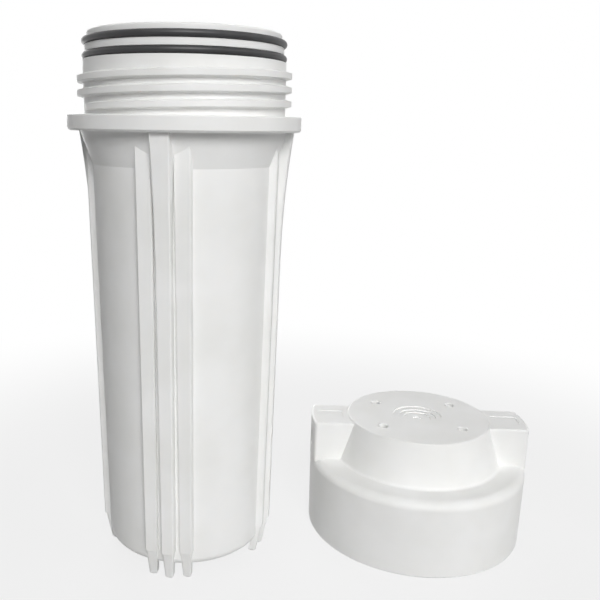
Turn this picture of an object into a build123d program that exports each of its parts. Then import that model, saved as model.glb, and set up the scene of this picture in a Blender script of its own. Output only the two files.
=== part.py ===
# Water filter housing, shown open: a ribbed sump with two O-rings, and its cap.
# All sizes are in millimetres. The floor is z = 0 and +Z is up.
import os
from math import cos, hypot, radians, sin, sqrt, tan

from build123d import *

# Neck and thread, heights counted up from the flange's top face, and radii
# set back from the outside of the O-rings
neck_setback = 0.2
rim_setback = 2.3
rim_lip_height = 2.4
land_setback = 1.3
land_height = 2.8
thread_pitch = 5.95
thread_turns = 2.75
thread_start_height = 3.1
thread_ridge_height = 2.7
thread_base_width = 3.9
thread_crest_width = 2.3
thread_start_angle = 205.0
thread_run_out_angle = 40.0
thread_clearance = 0.35
thread_side_clearance = 0.375
thread_embed = 0.5

# O-rings and their grooves, from the thread's end up to the rim
groove_gap = 1.6
o_ring_section = 3.0
o_ring_outer_radius = 45.2
o_ring_seat_gap = 0.05
o_ring_side_gap = 0.15
groove_wall = 3.75

# Wrench flange of the sump
flange_reach = 7.4
flange_thickness = 6.7
flange_bevel = 0.9
flange_edge_radius = 0.6

# Bowl of the sump
sump_height = 246.0
wall_thickness = 3.8
body_draft_angle = 1.0
flare_reach = 5.2
flare_height = 14.6
floor_corner_radius = 4.0
bore_corner_radius = 6.0
neck_draft = 0.4
rim_inner_edge = 0.8

# Ribs of the sump, in groups round the bowl
rib_groups = 4
rib_group_turn = -5.0
rib_pitch = 8.1
rib_face_width = 5.9
rib_side_slope = 0.1
rib_width_draft = 0.18
rib_edge_chamfer = 0.5
rib_embed = 1.5
middle_rib_height = 3.6
side_rib_height = 2.4
gusset_height = 56.0
gusset_reach = 3.6
gusset_extra_width = 1.3
rib_ledge_height = 14.5
rib_ledge_step = 0.6
tip_length = 6.6
tip_width = 3.6
tip_depth = 3.6
tip_inset = 2.6
tip_end_round = 0.9

# Locating spigot for a cartridge on the sump's floor
spigot_radius = 12.4
spigot_bore_radius = 9.5
spigot_height = 7.0
spigot_fins = 4
spigot_fin_reach = 9.0
spigot_fin_height = 2.5
spigot_fin_thickness = 2.2

# Cap, heights counted up from the skirt's bottom edge
cap_height = 60.0
skirt_overhang = 2.6
skirt_draft = 0.4
skirt_edge_radius = 0.6
shoulder_edge_radius = 4.2
shoulder_width = 12.7
cone_inset = 6.1
cone_base_fillet = 1.6
cap_top_edge_radius = 0.8
cap_wall = 3.6
shoulder_wall = 3.4
rim_clearance = 0.6
seal_squeeze = 0.6
seal_lead_in = 0.9
cap_thread_turns = 2.4
cap_thread_start_height = 4.0
cap_thread_start_angle = 30.0
cap_thread_step = 0.6

# Port wings of the cap
wing_width = 25.5
wing_proud = 0.5
wing_top_drop = 1.0
wing_edge_radius = 1.1
wing_end_radius = 1.8
panel_length = 13.0
panel_width = 9.0
panel_depth = 0.4
panel_inset = 3.6

# Ports, quarter inch pipe size, along the wings
port_radius = 6.5
port_thread_length = 11.0
port_mouth_chamfer = 0.8
passage_radius = 3.4
passage_wall = 2.4

# Outlet hub and nib that a cartridge seals on, inside the cap
hub_radius = 15.0
nib_radius = 12.4
nib_height = 4.0
outlet_radius = 3.6

# Screw holes for a bracket in the cap's top, and their bosses inside
screw_spacing_x = 40.0
screw_spacing_y = 32.0
screw_hole_radius = 2.3
screw_hole_depth = 10.0
screw_hole_chamfer = 0.5
boss_wall = 2.2

# Stepped recess at the centre of the cap's top
recess_radii = (12.4, 9.6, 7.0, 2.2)
recess_step = 0.6

# Where the cap stands beside the sump
cap_offset_x = 119.0
cap_offset_y = 26.0

# Sizes that follow from the ones above
groove_width = o_ring_section + 2 * o_ring_side_gap
neck_thread_top = thread_start_height + thread_turns * thread_pitch + thread_base_width / 2
neck_height = neck_thread_top + groove_gap + 2 * groove_width + land_height + rim_lip_height
flange_top = sump_height - neck_height
flange_bottom = flange_top - flange_thickness
flare_bottom = flange_bottom - flare_height
body_slope = tan(radians(body_draft_angle))
groove_floor_radius = o_ring_outer_radius - o_ring_section - o_ring_seat_gap
neck_radius = o_ring_outer_radius - neck_setback
land_radius = o_ring_outer_radius - land_setback
rim_radius = o_ring_outer_radius - rim_setback
mouth_radius = groove_floor_radius - groove_wall
body_top_radius = mouth_radius - neck_draft + wall_thickness
flare_radius = body_top_radius + flare_reach
flange_radius = neck_radius + flange_reach
upper_groove_top = sump_height - rim_lip_height
upper_groove_bottom = upper_groove_top - groove_width
lower_groove_top = upper_groove_bottom - land_height
lower_groove_bottom = lower_groove_top - groove_width
floor_top = tip_length + wall_thickness
skirt_radius = flange_radius + skirt_overhang
cone_base_radius = skirt_radius - shoulder_width
cone_top_radius = cone_base_radius - cone_inset
wing_reach = skirt_radius + wing_proud
wing_top = cap_height - wing_top_drop
ceiling_height = neck_height + rim_clearance
shoulder_height = ceiling_height + shoulder_wall
port_height = (shoulder_height + wing_top) / 2
tube_radius = passage_radius + passage_wall
hub_seat_height = port_height - tube_radius
cap_thread_crest_width = thread_pitch - thread_base_width - 2 * thread_side_clearance
cone_lean = (cone_base_radius - cone_top_radius) / (cap_height - shoulder_height)
cone_wall = cap_wall * hypot(1, cone_lean)


def body_radius(z):
    # Outer radius of the tapered bowl at height z
    return body_top_radius - (flare_bottom - z) * body_slope


def bore_radius(z):
    # Inner radius of the bowl, one wall in from the outside
    return body_radius(z) - wall_thickness


def rounded_face(corners):
    # Closed face in the XZ plane from (x, z, corner radius), in order round it
    count = len(corners)
    starts = []
    ends = []
    middles = []
    for i, (x, z, radius) in enumerate(corners):
        here = Vector(x, 0, z)
        if not radius:
            starts.append(here)
            ends.append(here)
            middles.append(None)
            continue
        before = corners[i - 1]
        after = corners[(i + 1) % count]
        towards = (Vector(before[0], 0, before[1]) - here).normalized()
        away = (Vector(after[0], 0, after[1]) - here).normalized()
        half = radians(towards.get_angle(away)) / 2
        tangent = radius / tan(half)
        bisector = (towards + away).normalized()
        starts.append(here + towards * tangent)
        ends.append(here + away * tangent)
        middles.append(here + bisector * (radius / sin(half) - radius))
    edges = []
    for i in range(count):
        if middles[i] is not None:
            edges.append(ThreePointArc(starts[i], middles[i], ends[i]))
        following = starts[(i + 1) % count]
        if (following - ends[i]).length > 1e-6:
            edges.append(Line(ends[i], following))
    return make_face(edges)


def turned(corners):
    # Solid of revolution about Z from a rounded outline
    return revolve(rounded_face(corners), axis=Axis.Z)


def helix_ridge(radius, height, pitch, turns, start_angle, section, sink):
    # Thread ridge: a section swept along a helix whose two ends sink by sink.
    # section holds (outward, up) pairs about the helix line.
    steps_per_turn = 24
    steps = round(turns * steps_per_turn)
    points = []
    for i in range(steps + 1):
        turn = 360 * turns * i / steps
        to_end = min(turn, 360 * turns - turn)
        fade = max(0.0, 1 - to_end / thread_run_out_angle)
        reach = radius + sink * fade ** 2
        angle = radians(start_angle + turn)
        z = height + pitch * turn / 360
        points.append((reach * cos(angle), reach * sin(angle), z))
    path = Spline(points)
    plane = Plane(origin=path @ 0, x_dir=Vector(cos(radians(start_angle)), sin(radians(start_angle)), 0),
                  z_dir=path % 0)
    profile = plane * make_face(Polyline(section, close=True))
    return sweep(profile, path=path, is_frenet=True)


def sump_shell():
    # Bowl, flange, neck and O-ring grooves as one turned solid
    under_radius = body_radius(tip_length)
    return turned([
        (0, tip_length, 0),
        (under_radius, tip_length, floor_corner_radius),
        (body_top_radius, flare_bottom, 0),
        (flare_radius, flange_bottom, 0),
        (flange_radius - flange_bevel, flange_bottom, 0),
        (flange_radius, flange_bottom + flange_bevel, 0),
        (flange_radius, flange_top, flange_edge_radius),
        (neck_radius, flange_top, 0),
        (neck_radius, lower_groove_bottom, 0),
        (groove_floor_radius, lower_groove_bottom, 0),
        (groove_floor_radius, lower_groove_top, 0),
        (land_radius, lower_groove_top, 0),
        (land_radius, upper_groove_bottom, 0),
        (groove_floor_radius, upper_groove_bottom, 0),
        (groove_floor_radius, upper_groove_top, 0),
        (rim_radius, upper_groove_top, 0),
        (rim_radius, sump_height, rim_inner_edge),
        (0, sump_height, 0),
    ])


def sump_bore():
    # Space inside the bowl, open at the rim
    return turned([
        (0, floor_top, 0),
        (bore_radius(floor_top), floor_top, bore_corner_radius),
        (bore_radius(flare_bottom), flare_bottom, 0),
        (mouth_radius, sump_height - rim_inner_edge, 0),
        (mouth_radius + rim_inner_edge, sump_height, 0),
        (0, sump_height, 0),
    ])


def trapezium(z, root, face, root_width, face_width, offset):
    # Level rib section at height z, pointing along +X, its centre at y = offset,
    # with its two outer corners cut
    shoulder = face - rib_edge_chamfer
    edge_width = face_width - 2 * rib_edge_chamfer
    return make_face(Polyline(
        (root, offset - root_width / 2, z),
        (shoulder, offset - face_width / 2, z),
        (face, offset - edge_width / 2, z),
        (face, offset + edge_width / 2, z),
        (shoulder, offset + face_width / 2, z),
        (root, offset + root_width / 2, z),
        close=True))


def rib_face(z, height, offset):
    # How far out a rib's face lies at height z, and where its root lies in the wall
    radius = body_radius(z)
    face = sqrt((radius + height) ** 2 - offset ** 2)
    root = sqrt((radius - rib_embed) ** 2 - offset ** 2)
    return face, root


def rib_section(z, height, offset, extra_reach=0.0, extra_width=0.0):
    face, root = rib_face(z, height, offset)
    face_width = rib_face_width + 2 * (z - rib_ledge_height) * tan(radians(rib_width_draft)) + extra_width
    root_width = face_width + 2 * rib_side_slope * (face + extra_reach - root)
    return trapezium(z, root, face + extra_reach, root_width, face_width, offset)


def rib_tip(height, offset):
    # Tip that carries on below the rib's ledge down to the floor
    face, root = rib_face(rib_ledge_height, height, offset)
    ledge_face = face - rib_ledge_step
    ledge_width = rib_face_width - rib_ledge_step
    end_face = ledge_face - tip_inset
    end_root = end_face - tip_depth
    return loft([
        trapezium(rib_ledge_height, root, ledge_face, ledge_width, ledge_width, offset),
        trapezium(tip_end_round, end_root, end_face, tip_width, tip_width, offset),
    ], ruled=True) + loft([
        trapezium(tip_end_round, end_root, end_face, tip_width, tip_width, offset),
        trapezium(0, end_root + tip_end_round, end_face - tip_end_round,
                  tip_width - tip_end_round, tip_width - tip_end_round, offset),
    ], ruled=True)


def side_rib(offset):
    # Straight rib that runs up into the flare under the flange
    shaft = loft([
        rib_section(rib_ledge_height, side_rib_height, offset),
        rib_section(flange_bottom, side_rib_height, offset),
    ], ruled=True)
    return shaft + rib_tip(side_rib_height, offset)


def middle_rib():
    # Tallest rib of a group: it flares out to carry the flange
    gusset_start = flange_bottom - gusset_height
    shaft = loft([
        rib_section(rib_ledge_height, middle_rib_height, 0),
        rib_section(gusset_start, middle_rib_height, 0),
    ], ruled=True)
    gusset_sections = []
    for share in (0, 0.25, 0.5, 0.75, 1):
        z = gusset_start + gusset_height * share
        gusset_sections.append(rib_section(
            z, middle_rib_height, 0,
            extra_reach=gusset_reach * share ** 2,
            extra_width=gusset_extra_width * share ** 2))
    gusset = loft(gusset_sections)
    return shaft + gusset + rib_tip(middle_rib_height, 0)


def spigot():
    # Ring and fins on the sump's floor that centre a cartridge
    overlap = wall_thickness / 2
    ring = Cylinder(spigot_radius, spigot_height + overlap,
                    align=(Align.CENTER, Align.CENTER, Align.MIN))
    fin = Box(spigot_radius + spigot_fin_reach, spigot_fin_thickness, spigot_fin_height + overlap,
              align=(Align.MIN, Align.CENTER, Align.MIN))
    body = ring
    for i in range(spigot_fins):
        body += Rot(0, 0, 360 * i / spigot_fins) * fin
    body -= Cylinder(spigot_bore_radius, 3 * spigot_height,
                     align=(Align.CENTER, Align.CENTER, Align.MIN))
    return Pos(0, 0, floor_top - overlap) * body


def neck_thread():
    base = thread_base_width / 2
    crest = thread_crest_width / 2
    section = [
        (-thread_embed, -base),
        (0, -base),
        (thread_ridge_height, -crest),
        (thread_ridge_height, crest),
        (0, base),
        (-thread_embed, base),
    ]
    return helix_ridge(neck_radius, flange_top + thread_start_height, thread_pitch, thread_turns,
                       thread_start_angle, section, -thread_ridge_height)


def make_sump():
    body = sump_shell()
    group = middle_rib() + side_rib(-rib_pitch) + side_rib(rib_pitch)
    for i in range(rib_groups):
        body += Rot(0, 0, rib_group_turn + 360 * i / rib_groups) * group
    body += neck_thread()
    body -= sump_bore()
    body += spigot()
    return body


def make_o_ring(groove_bottom):
    centre_radius = o_ring_outer_radius - o_ring_section / 2
    return Pos(0, 0, groove_bottom + groove_width / 2) * Torus(centre_radius, o_ring_section / 2)


def cap_outside():
    # Skirt, shoulder, cone and top as one turned solid
    return turned([
        (0, 0, 0),
        (skirt_radius, 0, skirt_edge_radius),
        (skirt_radius + skirt_draft, shoulder_height, shoulder_edge_radius),
        (cone_base_radius, shoulder_height, cone_base_fillet),
        (cone_top_radius, cap_height, cap_top_edge_radius),
        (0, cap_height, 0),
    ])


def cone_inside(height):
    # Inner radius of the cap's hollow cone at a height
    return cone_top_radius + (cap_height - height) * cone_lean - cone_wall


def cap_cavity():
    # Thread bore, sealing bore and the hollow of the cone
    thread_bore = neck_radius + thread_ridge_height + thread_clearance
    guide_bore = neck_radius + thread_clearance
    seal_bore = o_ring_outer_radius - seal_squeeze
    guide_top = lower_groove_bottom - flange_top
    seal_start = guide_top + seal_lead_in
    thread_top = neck_thread_top + thread_clearance
    inner_top_height = cap_height - cap_wall
    return turned([
        (0, 0, 0),
        (thread_bore + skirt_edge_radius, 0, 0),
        (thread_bore, skirt_edge_radius, 0),
        (thread_bore, thread_top, 0),
        (guide_bore, thread_top + cap_thread_step, 0),
        (guide_bore, guide_top, 0),
        (seal_bore, seal_start, 0),
        (seal_bore, ceiling_height, 0),
        (cone_inside(ceiling_height), ceiling_height, 0),
        (cone_inside(inner_top_height), inner_top_height, 0),
        (0, inner_top_height, 0),
    ])


def wings():
    # Two port blocks on one diameter, their ends turned to the skirt's radius
    foot = shoulder_height - shoulder_wall / 2
    block = extrude(Rectangle(4 * wing_reach, wing_width) & Circle(wing_reach),
                    amount=wing_top - foot)
    ends = block.edges().filter_by(Axis.Z)
    block = fillet(ends, wing_end_radius)
    block = fillet(block.faces().sort_by(Axis.Z)[-1].edges(), wing_edge_radius)
    return Pos(0, 0, foot) * block


def along_wing(radius, inner, outer):
    # Round bar on the port axis, from x = inner to x = outer
    bar = Cylinder(radius, outer - inner)
    return Pos((inner + outer) / 2, 0, port_height) * Rot(0, 90, 0) * bar


def port_cut():
    # Port bore with its chamfered mouth, and the passage at its bottom
    bottom = wing_reach - port_thread_length
    mouth = Cone(port_radius, port_radius + 2 * port_mouth_chamfer, 2 * port_mouth_chamfer)
    cut = along_wing(port_radius, bottom, 2 * wing_reach)
    cut += Pos(wing_reach, 0, port_height) * Rot(0, 90, 0) * mouth
    cut += along_wing(passage_radius, cone_inside(port_height) - cap_wall, bottom + port_radius / 2)
    return cut


def cap_thread():
    # Ridge of the cap, cut to run in the gap between the ridges of the neck
    thread_bore = neck_radius + thread_ridge_height + thread_clearance
    crest = cap_thread_crest_width / 2
    rise = (thread_base_width - thread_crest_width) / 2
    section = [
        (thread_embed, -crest - rise),
        (0, -crest - rise),
        (-thread_ridge_height, -crest),
        (-thread_ridge_height, crest),
        (0, crest + rise),
        (thread_embed, crest + rise),
    ]
    return helix_ridge(thread_bore, cap_thread_start_height, thread_pitch, cap_thread_turns,
                       cap_thread_start_angle, section, thread_ridge_height)


def outlet_hub():
    # Hub and nib under the top, with the outlet tube that runs to one port
    roof = cap_height - cap_wall / 2
    hub = Pos(0, 0, hub_seat_height) * Cylinder(
        hub_radius, roof - hub_seat_height, align=(Align.CENTER, Align.CENTER, Align.MIN))
    nib = Pos(0, 0, hub_seat_height - nib_height) * Cylinder(
        nib_radius, nib_height, align=(Align.CENTER, Align.CENTER, Align.MIN))
    tube = along_wing(tube_radius, 0, cone_inside(port_height) + cone_wall / 2)
    web = Pos(0, 0, port_height) * Box(
        cone_inside(roof) + cone_wall / 2, 2 * tube_radius, roof - port_height,
        align=(Align.MIN, Align.CENTER, Align.MIN))
    return hub + nib + tube + web


def screw_places():
    return GridLocations(screw_spacing_x, screw_spacing_y, 2, 2)


def screw_bosses():
    depth = screw_hole_depth + boss_wall
    boss = Cylinder(screw_hole_radius + boss_wall, depth - cap_wall / 2,
                    align=(Align.CENTER, Align.CENTER, Align.MIN))
    return [Pos(0, 0, cap_height - depth) * place * boss for place in screw_places()]


def screw_hole():
    hole = Pos(0, 0, cap_height - screw_hole_depth) * Cylinder(
        screw_hole_radius, 2 * screw_hole_depth, align=(Align.CENTER, Align.CENTER, Align.MIN))
    mouth = Pos(0, 0, cap_height) * Cone(
        screw_hole_radius, screw_hole_radius + 2 * screw_hole_chamfer, 2 * screw_hole_chamfer)
    return hole + mouth


def centre_recess():
    # Stepped round recess: each smaller step lies one step deeper
    cut = None
    for i, radius in enumerate(recess_radii):
        depth = recess_step * (i + 1)
        step = Pos(0, 0, cap_height - depth) * Cylinder(
            radius, 2 * depth, align=(Align.CENTER, Align.CENTER, Align.MIN))
        cut = step if cut is None else cut + step
    return cut


def wing_panels():
    # Shallow blank panels sunk in the wings' tops
    centre = wing_reach - panel_inset - panel_length / 2
    panel = Box(panel_length, panel_width, 2 * panel_depth)
    return [Pos(side * centre, 0, wing_top) * panel for side in (-1, 1)]


def make_cap():
    body = cap_outside() + wings()
    body -= cap_cavity()
    body += cap_thread()
    body += outlet_hub()
    for boss in screw_bosses():
        body += boss
    for place in screw_places():
        body -= place * screw_hole()
    body -= centre_recess()
    for panel in wing_panels():
        body -= panel
    body -= port_cut()
    body -= Rot(0, 0, 180) * port_cut()
    body -= along_wing(passage_radius, 0, cone_inside(port_height))
    nib_end = hub_seat_height - nib_height
    body -= Pos(0, 0, nib_end) * Cylinder(outlet_radius, port_height - nib_end,
                                          align=(Align.CENTER, Align.CENTER, Align.MIN))
    return body


# Places on the floor, with the origin under the middle of the whole
row_left = -flange_radius
row_right = cap_offset_x + wing_reach
row_front = min(-flange_radius, cap_offset_y - skirt_radius - skirt_draft)
row_back = max(flange_radius, cap_offset_y + skirt_radius + skirt_draft)
sump_place = Pos(-(row_left + row_right) / 2, -(row_front + row_back) / 2, 0)
cap_place = sump_place * Pos(cap_offset_x, cap_offset_y, 0)

pieces = {
    "sump": sump_place * make_sump(),
    "lower_o_ring": sump_place * make_o_ring(lower_groove_bottom),
    "upper_o_ring": sump_place * make_o_ring(upper_groove_bottom),
    "cap": cap_place * make_cap(),
}

os.makedirs("parts", exist_ok=True)
for name, piece in pieces.items():
    piece.label = name
    export_step(piece, f"parts/{name}.step")
    box = piece.bounding_box()
    print(name, "volume", round(piece.volume), "solids", len(piece.solids()),
          "box", [round(v, 2) for v in (*box.min, *box.max)])
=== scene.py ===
import bpy
import math
from mathutils import Matrix, Vector


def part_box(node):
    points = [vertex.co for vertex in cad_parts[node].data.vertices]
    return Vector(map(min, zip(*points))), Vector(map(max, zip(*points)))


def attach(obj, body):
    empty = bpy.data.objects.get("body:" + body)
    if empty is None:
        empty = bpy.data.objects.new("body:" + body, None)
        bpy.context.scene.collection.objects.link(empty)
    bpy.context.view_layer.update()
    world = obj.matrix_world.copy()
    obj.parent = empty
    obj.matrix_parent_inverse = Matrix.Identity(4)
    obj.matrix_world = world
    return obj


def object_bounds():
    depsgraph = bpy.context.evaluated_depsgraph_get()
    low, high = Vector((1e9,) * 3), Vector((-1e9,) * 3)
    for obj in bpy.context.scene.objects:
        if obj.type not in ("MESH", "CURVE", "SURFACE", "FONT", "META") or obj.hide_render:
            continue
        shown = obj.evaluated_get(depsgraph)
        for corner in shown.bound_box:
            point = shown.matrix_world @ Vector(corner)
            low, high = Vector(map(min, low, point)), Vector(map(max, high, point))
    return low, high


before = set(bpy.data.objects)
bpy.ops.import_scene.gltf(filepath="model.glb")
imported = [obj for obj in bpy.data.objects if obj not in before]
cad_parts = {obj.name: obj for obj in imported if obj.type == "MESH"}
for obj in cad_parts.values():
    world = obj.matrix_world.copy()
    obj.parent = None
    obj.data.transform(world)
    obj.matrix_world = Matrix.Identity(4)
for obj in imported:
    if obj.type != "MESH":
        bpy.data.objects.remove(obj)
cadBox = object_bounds()
print("frame loaded:", ", ".join(sorted(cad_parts)))

mm = 0.001  # the scene is in metres, sizes below are in millimetres


def hexToLinear(code):
    # sRGB hex to the linear colour that shader sockets take
    values = []
    for i in (1, 3, 5):
        c = int(code[i:i + 2], 16) / 255
        values.append(c / 12.92 if c <= 0.04045 else ((c + 0.055) / 1.055) ** 2.4)
    return (*values, 1.0)


def addNode(tree, kind, settings=None, links=None):
    # one shader node with its settings, socket values and links
    node = tree.nodes.new(kind)
    for name, value in (settings or {}).items():
        if isinstance(name, str) and hasattr(node, name):
            setattr(node, name, value)
        else:
            node.inputs[name].default_value = value
    for socket, source in (links or {}).items():
        tree.links.new(source, node.inputs[socket])
    return node


def addNoise(tree, place, size, detail):
    # noise with features of this size in mm
    noise = addNode(tree, "ShaderNodeTexNoise", {"Scale": 1 / (size * mm), "Detail": detail},
                    {"Vector": place})
    return noise.outputs["Fac"]


def addRamp(tree, factor, *stops):
    # colour that runs from one stop to the next, each a position and a hex code
    ramp = addNode(tree, "ShaderNodeValToRGB", {}, {"Fac": factor})
    for element, (position, code) in zip(ramp.color_ramp.elements, stops):
        element.position = position
        element.color = hexToLinear(code)
    return ramp.outputs["Color"]


def addBump(tree, height, depth, under=None):
    # relief of this depth in mm, laid over the relief under it
    links = {"Height": height}
    if under is not None:
        links["Normal"] = under
    bump = addNode(tree, "ShaderNodeBump", {"Strength": 1.0, "Distance": depth * mm}, links)
    return bump.outputs["Normal"]


def newMaterial(name):
    material = bpy.data.materials.new(name)
    material.use_nodes = True
    material.node_tree.nodes.clear()
    return material, material.node_tree


polypropylene = {
    "pale": "#f3f3f2",
    "deep": "#eeeeec",
    "changeFrom": 0.35,     # colour and gloss change over this middle part of the noise
    "changeTo": 0.65,
    "gloss": 0.4,           # roughness where the skin is glossiest
    "dull": 0.5,            # roughness where it is dullest
    "ior": 1.49,
    "sheenLevel": 0.28,     # specular level, a filled and slightly waxy skin reflects less
    "clouding": 26.0,       # mm, slow change of whiteness in the melt
    "streak": 3.5,          # mm between the faint flow streaks, which run up the wall
    "streakStretch": 30.0,  # how much longer than wide a streak is
    "streakDepth": 0.012,   # mm
    "waviness": 11.0,       # mm between the soft waves of a cooled wall
    "waveDepth": 0.04,      # mm
    "grain": 0.9,           # mm, coarser than the real tool finish so that it shows
    "grainDepth": 0.006,    # mm
    "glow": 0.18,           # share of light that passes under the skin
    "glowDepth": 1.6,       # mm
    "glowReach": (1.0, 0.95, 0.9),  # how deep red, green and blue go, as shares of that
}


def mouldedPolypropylene():
    # white polypropylene, injection moulded: faintly waxy, soft gloss, slow waves in its walls
    # and faint streaks along the way the melt ran
    spec = polypropylene
    material, tree = newMaterial("moulded polypropylene")
    place = addNode(tree, "ShaderNodeTexCoord").outputs["Object"]
    clouds = addNoise(tree, place, spec["clouding"], detail=2.0)
    colour = addRamp(tree, clouds, (spec["changeFrom"], spec["deep"]),
                     (spec["changeTo"], spec["pale"]))
    along = addNode(tree, "ShaderNodeMapping", {"Scale": (1, 1, 1 / spec["streakStretch"])},
                    {"Vector": place})
    streaks = addNoise(tree, along.outputs["Vector"], spec["streak"], detail=3.0)
    shine = addNode(tree, "ShaderNodeMapRange", {
        "From Min": spec["changeFrom"], "From Max": spec["changeTo"],
        "To Min": spec["gloss"], "To Max": spec["dull"]}, {"Value": streaks})
    waves = addNoise(tree, place, spec["waviness"], detail=1.0)
    grain = addNoise(tree, place, spec["grain"], detail=3.0)
    relief = addBump(tree, waves, spec["waveDepth"])
    relief = addBump(tree, streaks, spec["streakDepth"], under=relief)
    relief = addBump(tree, grain, spec["grainDepth"], under=relief)
    skin = addNode(tree, "ShaderNodeBsdfPrincipled", {
        "IOR": spec["ior"], "Specular IOR Level": spec["sheenLevel"],
        "Subsurface Weight": spec["glow"], "Subsurface Radius": spec["glowReach"],
        "Subsurface Scale": spec["glowDepth"] * mm,
    }, {"Base Color": colour, "Roughness": shine.outputs["Result"], "Normal": relief})
    addNode(tree, "ShaderNodeOutputMaterial", {}, {"Surface": skin.outputs["BSDF"]})
    return material


nitrile = {
    "colour": "#1a1a1c",
    "dusty": "#2a2a2c",
    "dustFrom": 0.4,        # part of the noise over which the dusty colour comes in
    "dustTo": 0.75,
    "bloom": 9.0,           # mm, patches where the rubber has bloomed paler
    "roughness": 0.46,
    "ior": 1.52,
    "grain": 0.5,           # mm
    "grainDepth": 0.01,     # mm
}


def mouldedNitrile():
    # black nitrile rubber ring, moulded: dense black, dull gloss, a faint paler bloom
    spec = nitrile
    material, tree = newMaterial("moulded nitrile rubber")
    place = addNode(tree, "ShaderNodeTexCoord").outputs["Object"]
    bloom = addNoise(tree, place, spec["bloom"], detail=3.0)
    colour = addRamp(tree, bloom, (spec["dustFrom"], spec["colour"]),
                     (spec["dustTo"], spec["dusty"]))
    grain = addNoise(tree, place, spec["grain"], detail=2.0)
    relief = addBump(tree, grain, spec["grainDepth"])
    skin = addNode(tree, "ShaderNodeBsdfPrincipled", {
        "Roughness": spec["roughness"], "IOR": spec["ior"],
    }, {"Base Color": colour, "Normal": relief})
    addNode(tree, "ShaderNodeOutputMaterial", {}, {"Surface": skin.outputs["BSDF"]})
    return material


def dressNode(name, material):
    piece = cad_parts[name]
    piece.data.materials.clear()
    piece.data.materials.append(material)


whitePlastic = mouldedPolypropylene()
blackRubber = mouldedNitrile()
dressNode("sump", whitePlastic)
dressNode("cap", whitePlastic)
dressNode("upper_o_ring", blackRubber)
dressNode("lower_o_ring", blackRubber)
print("materials set")


# where the photograph was taken from, measured off the sump and the cap in it
photoView = {
    "place": (-16.0, -352.0, 208.2),  # mm
    "turn": 3.25,           # degrees from +Y towards -X
    "pitch": 13.65,         # degrees down
    "roll": 0.8,            # degrees, the photograph leans a little
    "lens": 43.6,           # mm
    "sensor": 36,           # mm, its width
    "shiftX": 0.1,          # the photograph's perspective centre lies left of its middle
    "near": 10,             # mm, nothing closer is seen
    "far": 20000,           # mm
}


def setCamera():
    view = photoView
    aim = Matrix.Rotation(math.radians(view["turn"]), 3, "Z")
    tilt = Matrix.Rotation(math.radians(90 - view["pitch"]), 3, "X")
    lean = Matrix.Rotation(math.radians(view["roll"]), 3, "Z")
    data = bpy.data.cameras.new("photoCamera")
    data.sensor_width = view["sensor"]
    data.lens = view["lens"]
    data.shift_x = view["shiftX"]
    data.clip_start = view["near"] * mm
    data.clip_end = view["far"] * mm
    camera = bpy.data.objects.new("photoCamera", data)
    camera.location = Vector(view["place"]) * mm
    camera.rotation_euler = (aim @ tilt @ lean).to_euler()
    bpy.context.scene.collection.objects.link(camera)
    bpy.context.scene.camera = camera


# place and size in mm, aim as the height in mm that the lamp points at, spread in degrees
lamps = {
    "key": {"place": (260, -1330, 900), "aim": 0, "size": 760, "spread": 60, "watts": 2.7},
    "side": {"place": (1300, -360, 650), "aim": 100, "size": 900, "spread": 180, "watts": 3.6},
    "top": {"place": (40, -100, 1400), "aim": 0, "size": 700, "spread": 180, "watts": 1.3},
    "back": {"place": (-450, 1400, 420), "aim": 100, "size": 900, "spread": 180, "watts": 14.0},
}


def setLamps():
    centre = (cadBox[0] + cadBox[1]) / 2
    for name, spec in lamps.items():
        data = bpy.data.lights.new(name, "AREA")
        data.size = spec["size"] * mm
        data.energy = spec["watts"]
        data.spread = math.radians(spec["spread"])
        lamp = bpy.data.objects.new(name, data)
        lamp.location = Vector(spec["place"]) * mm
        aim = Vector((centre.x, centre.y, spec["aim"] * mm)) - lamp.location
        lamp.rotation_euler = aim.to_track_quat("-Z", "Y").to_euler()
        bpy.context.scene.collection.objects.link(lamp)


room = {
    "ambient": 0.05,        # strength of the world's grey light
    "floorColour": "#b4b4b4",
    "floorRadius": 1500,    # mm
    "floorSides": 96,
    "fadeStart": 160,       # mm from the middle where the floor starts to fade to white
    "fadeEnd": 420,         # mm from the middle where it is all white
    "lift": 0.8,            # how far the floor near the object is already lifted to white
}
white = (1, 1, 1, 1)


def seenDirectly(tree):
    # 1 where the camera, a reflection or glass looks at the surface, 0 for the light it gives
    path = addNode(tree, "ShaderNodeLightPath")
    eye = addNode(tree, "ShaderNodeMath", {"operation": "ADD"}, {
        0: path.outputs["Is Camera Ray"], 1: path.outputs["Is Glossy Ray"]})
    eyeOrGlass = addNode(tree, "ShaderNodeMath", {"operation": "ADD", "use_clamp": True}, {
        0: eye.outputs["Value"], 1: path.outputs["Is Transmission Ray"]})
    return eyeOrGlass.outputs["Value"]


def mixShaders(tree, share, first, second):
    mixed = addNode(tree, "ShaderNodeMixShader", {}, {0: share, 1: first, 2: second})
    return mixed.outputs["Shader"]


def setWorld():
    # white all round for the camera and for reflections, plain grey light for the surfaces
    world = bpy.data.worlds.new("studio")
    bpy.context.scene.world = world
    world.use_nodes = True
    tree = world.node_tree
    tree.nodes.clear()
    dim = addNode(tree, "ShaderNodeBackground", {"Color": white, "Strength": room["ambient"]})
    bright = addNode(tree, "ShaderNodeBackground", {"Color": white, "Strength": 1.0})
    surface = mixShaders(tree, seenDirectly(tree), dim.outputs["Background"],
                         bright.outputs["Background"])
    addNode(tree, "ShaderNodeOutputWorld", {}, {"Surface": surface})


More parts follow.
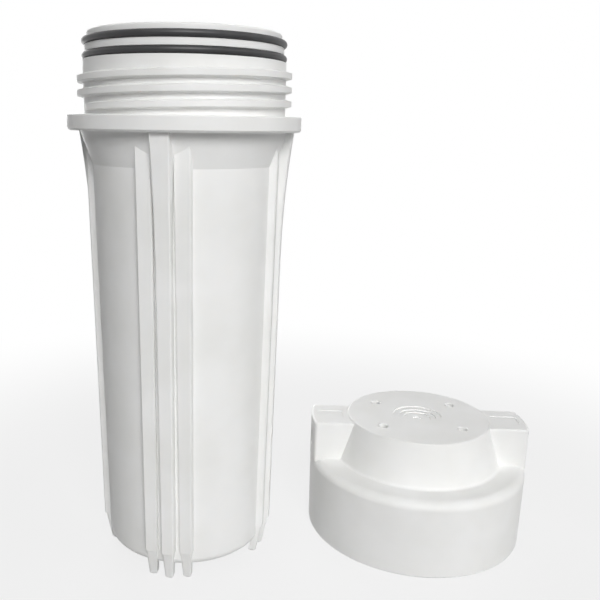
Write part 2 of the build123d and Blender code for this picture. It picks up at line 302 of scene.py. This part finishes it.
def studioFloor():
    # painted floor that keeps the object's shadow and fades to white away from it
    material, tree = newMaterial("painted studio floor")
    place = addNode(tree, "ShaderNodeTexCoord").outputs["Object"]
    distance = addNode(tree, "ShaderNodeVectorMath", {"operation": "LENGTH"}, {0: place})
    fade = addNode(tree, "ShaderNodeMapRange", {
        "interpolation_type": "SMOOTHSTEP",
        "From Min": room["fadeStart"] * mm, "From Max": room["fadeEnd"] * mm,
        "To Min": room["lift"], "To Max": 1.0}, {"Value": distance.outputs["Value"]})
    seen = addNode(tree, "ShaderNodeMath", {"operation": "MULTIPLY"}, {
        0: fade.outputs["Result"], 1: seenDirectly(tree)})
    paint = addNode(tree, "ShaderNodeBsdfDiffuse", {"Color": hexToLinear(room["floorColour"])})
    bright = addNode(tree, "ShaderNodeEmission", {"Color": white, "Strength": 1.0})
    surface = mixShaders(tree, seen.outputs["Value"], paint.outputs["BSDF"],
                         bright.outputs["Emission"])
    addNode(tree, "ShaderNodeOutputMaterial", {}, {"Surface": surface})
    return material


def layFloor():
    bpy.ops.object.select_all(action="DESELECT")
    bpy.ops.mesh.primitive_circle_add(
        vertices=room["floorSides"], radius=room["floorRadius"] * mm,
        fill_type="NGON", location=(0, 0, 0))
    floor = bpy.context.object
    floor.name = "floor"
    floor.data.materials.append(studioFloor())


setCamera()
setLamps()
setWorld()
layFloor()
print("camera, lamps and floor set")


portThread = {
    "radius": 6.5,          # mm, plain bore of the port
    "ridge": 0.75,          # mm, thread depth
    "seat": 0.05,           # mm that the ridge is set back into the bore's wall
    "pitch": 1.41,          # mm, eighteen to the inch
    "corner": 0.58,         # share of the pitch from the section's middle to its corners
    "turns": 6.5,
    "mouthInset": 1.0,      # mm from the wing's end to the first ridge
    "height": 48.9,         # mm, port axis above the cap's skirt edge
    "steps": 64,            # sides to one turn
    "weld": 0.001,          # mm, corners closer than this are one
}


def threadRidge(name, side):
    # fine pipe thread inside one port: a triangular section wound along the bore, ends closed
    spec = portThread
    low, high = (Vector(corner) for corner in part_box("cap"))
    centre = (low + high) / 2
    reach = (spec["radius"] - spec["ridge"] / 2 + spec["seat"]) * mm
    bpy.ops.object.select_all(action="DESELECT")
    bpy.ops.mesh.primitive_circle_add(
        vertices=3, radius=spec["pitch"] * spec["corner"] * mm, fill_type="NOTHING",
        location=(reach, 0, 0), rotation=(math.radians(90), 0, 0))
    ridge = bpy.context.object
    ridge.name = name
    bpy.ops.object.transform_apply(location=True, rotation=True, scale=True)
    wind = ridge.modifiers.new("wind", "SCREW")
    wind.axis = "Z"
    wind.angle = math.radians(360 * spec["turns"])
    wind.screw_offset = spec["pitch"] * spec["turns"] * mm
    wind.steps = round(spec["steps"] * spec["turns"])
    wind.render_steps = wind.steps
    bpy.ops.object.modifier_apply(modifier=wind.name)
    bpy.ops.object.mode_set(mode="EDIT")
    bpy.ops.mesh.select_all(action="SELECT")
    bpy.ops.mesh.remove_doubles(threshold=spec["weld"] * mm)
    bpy.ops.mesh.fill_holes(sides=3)
    bpy.ops.mesh.normals_make_consistent(inside=False)
    bpy.ops.object.mode_set(mode="OBJECT")
    wingEnd = high.x if side > 0 else low.x
    ridge.rotation_euler = (0, math.radians(-90 * side), 0)
    ridge.location = (wingEnd - side * spec["mouthInset"] * mm, centre.y, spec["height"] * mm)
    bpy.ops.object.transform_apply(location=True, rotation=True, scale=True)
    return ridge


for side, name in ((-1, "inlet_thread"), (1, "outlet_thread")):
    ridge = threadRidge(name, side)
    ridge.data.materials.append(whitePlastic)
    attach(ridge, "root")
print("port threads wound")

bpy.context.scene.view_settings.view_transform = "Standard"
